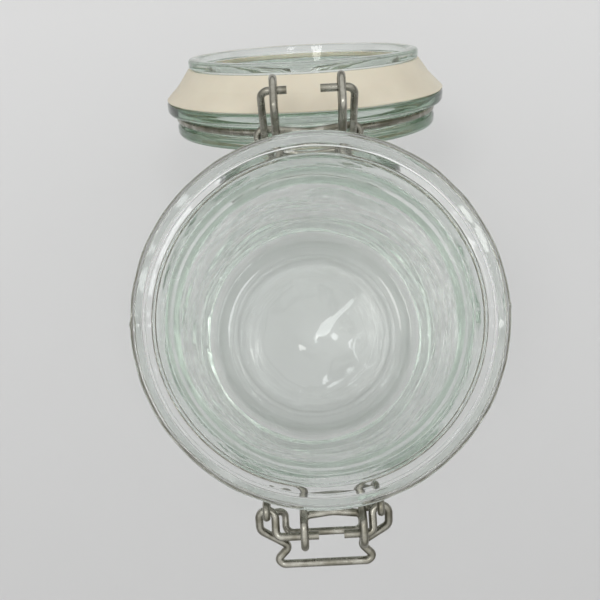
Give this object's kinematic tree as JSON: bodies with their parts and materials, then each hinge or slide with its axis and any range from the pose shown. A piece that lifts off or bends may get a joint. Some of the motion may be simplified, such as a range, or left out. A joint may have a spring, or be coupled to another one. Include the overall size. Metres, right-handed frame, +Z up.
{
  "type": "clip top jar",
  "caption": "Empty clear glass storage jar with a wire-hinged glass lid swung open, a cream rubber gasket and an undone wire lever clasp.",
  "frame": {"origin": "middle of the bounding box's underside, on the plane the jar stands on", "axes": "+Z up along the jar, +Y towards the lid's hinge, -Y towards the closing lever"},
  "size_m": [0.113, 0.1878, 0.16],
  "materials": {
    "clear_glass": "smooth, clear, faintly green",
    "cream_rubber": "matte",
    "tinned_steel": "dull, lightly worn"
  },
  "bodies": {
    "jar": {"jar": "clear_glass", "neck_wire": "tinned_steel"},
    "lid": {"lid": "clear_glass", "gasket": "cream_rubber", "lid_wire": "tinned_steel", "bridge_wire": "tinned_steel"},
    "lever": {"lever": "tinned_steel"},
    "clasp": {"clasp": "tinned_steel"}
  },
  "joints": [
    {"name": "lid_hinge", "type": "hinge", "parent": "jar", "child": "lid", "pos_m": [0, 0.0377, 0.1544], "axis": [1, 0, 0], "range_deg": [0, 240]},
    {"name": "lever_pivot", "type": "hinge", "parent": "jar", "child": "lever", "pos_m": [-0.0016, -0.0842, 0.1494], "axis": [-1, 0, 0], "range_deg": [0, 75]},
    {"name": "clasp_pivot", "type": "hinge", "parent": "lever", "child": "clasp", "pos_m": [-0.0016, -0.0771, 0.1494], "axis": [1, 0, 0], "range_deg": [0, 60]}
  ]
}
